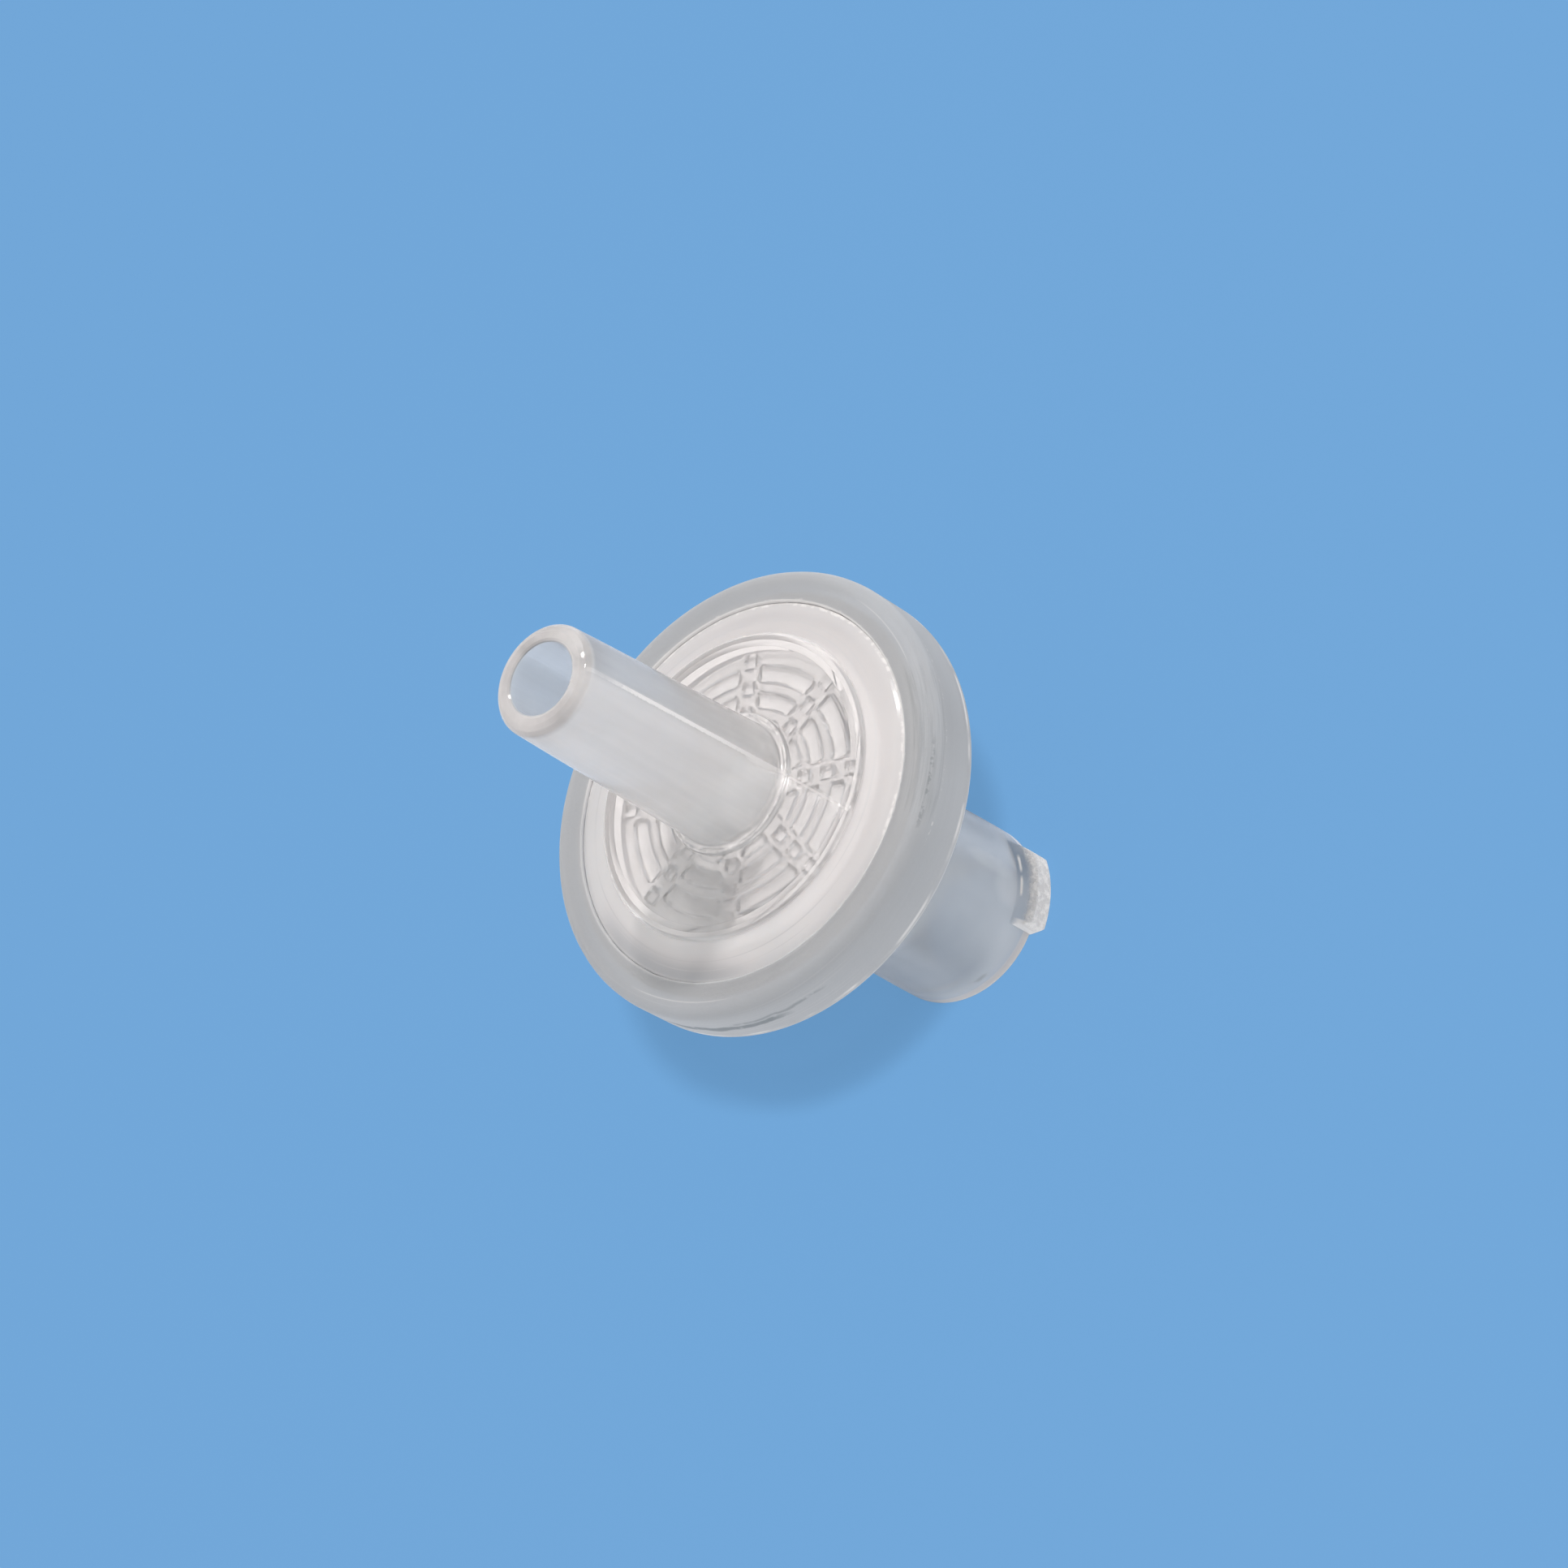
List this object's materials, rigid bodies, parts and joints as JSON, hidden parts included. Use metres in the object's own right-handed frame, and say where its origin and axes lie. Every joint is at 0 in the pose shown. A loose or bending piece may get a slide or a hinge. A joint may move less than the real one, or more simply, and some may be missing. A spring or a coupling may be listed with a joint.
{
  "type": "syringe filter",
  "caption": "Small round membrane filter for syringes, with a female luer lock barrel at its inlet, a male luer slip spout at its outlet and a ring moulded over the joint.",
  "frame": {"origin": "centre of the inlet's end face, on the flow axis; the filter stands on that face", "axes": "+Z along the flow, from inlet to outlet; +X through the middle of one luer ear"},
  "size_m": [0.0162, 0.0162, 0.0237],
  "materials": {
    "clear_polypropylene": "natural polypropylene, milky and clear, moulded gloss",
    "membrane": "white microporous membrane, matt",
    "ring_polypropylene": "natural polypropylene, cloudier, satin"
  },
  "bodies": {
    "root": {"inlet_housing": "clear_polypropylene", "outlet_housing": "clear_polypropylene", "filter_membrane": "membrane", "sealing_ring": "ring_polypropylene"}
  },
  "joints": []
}
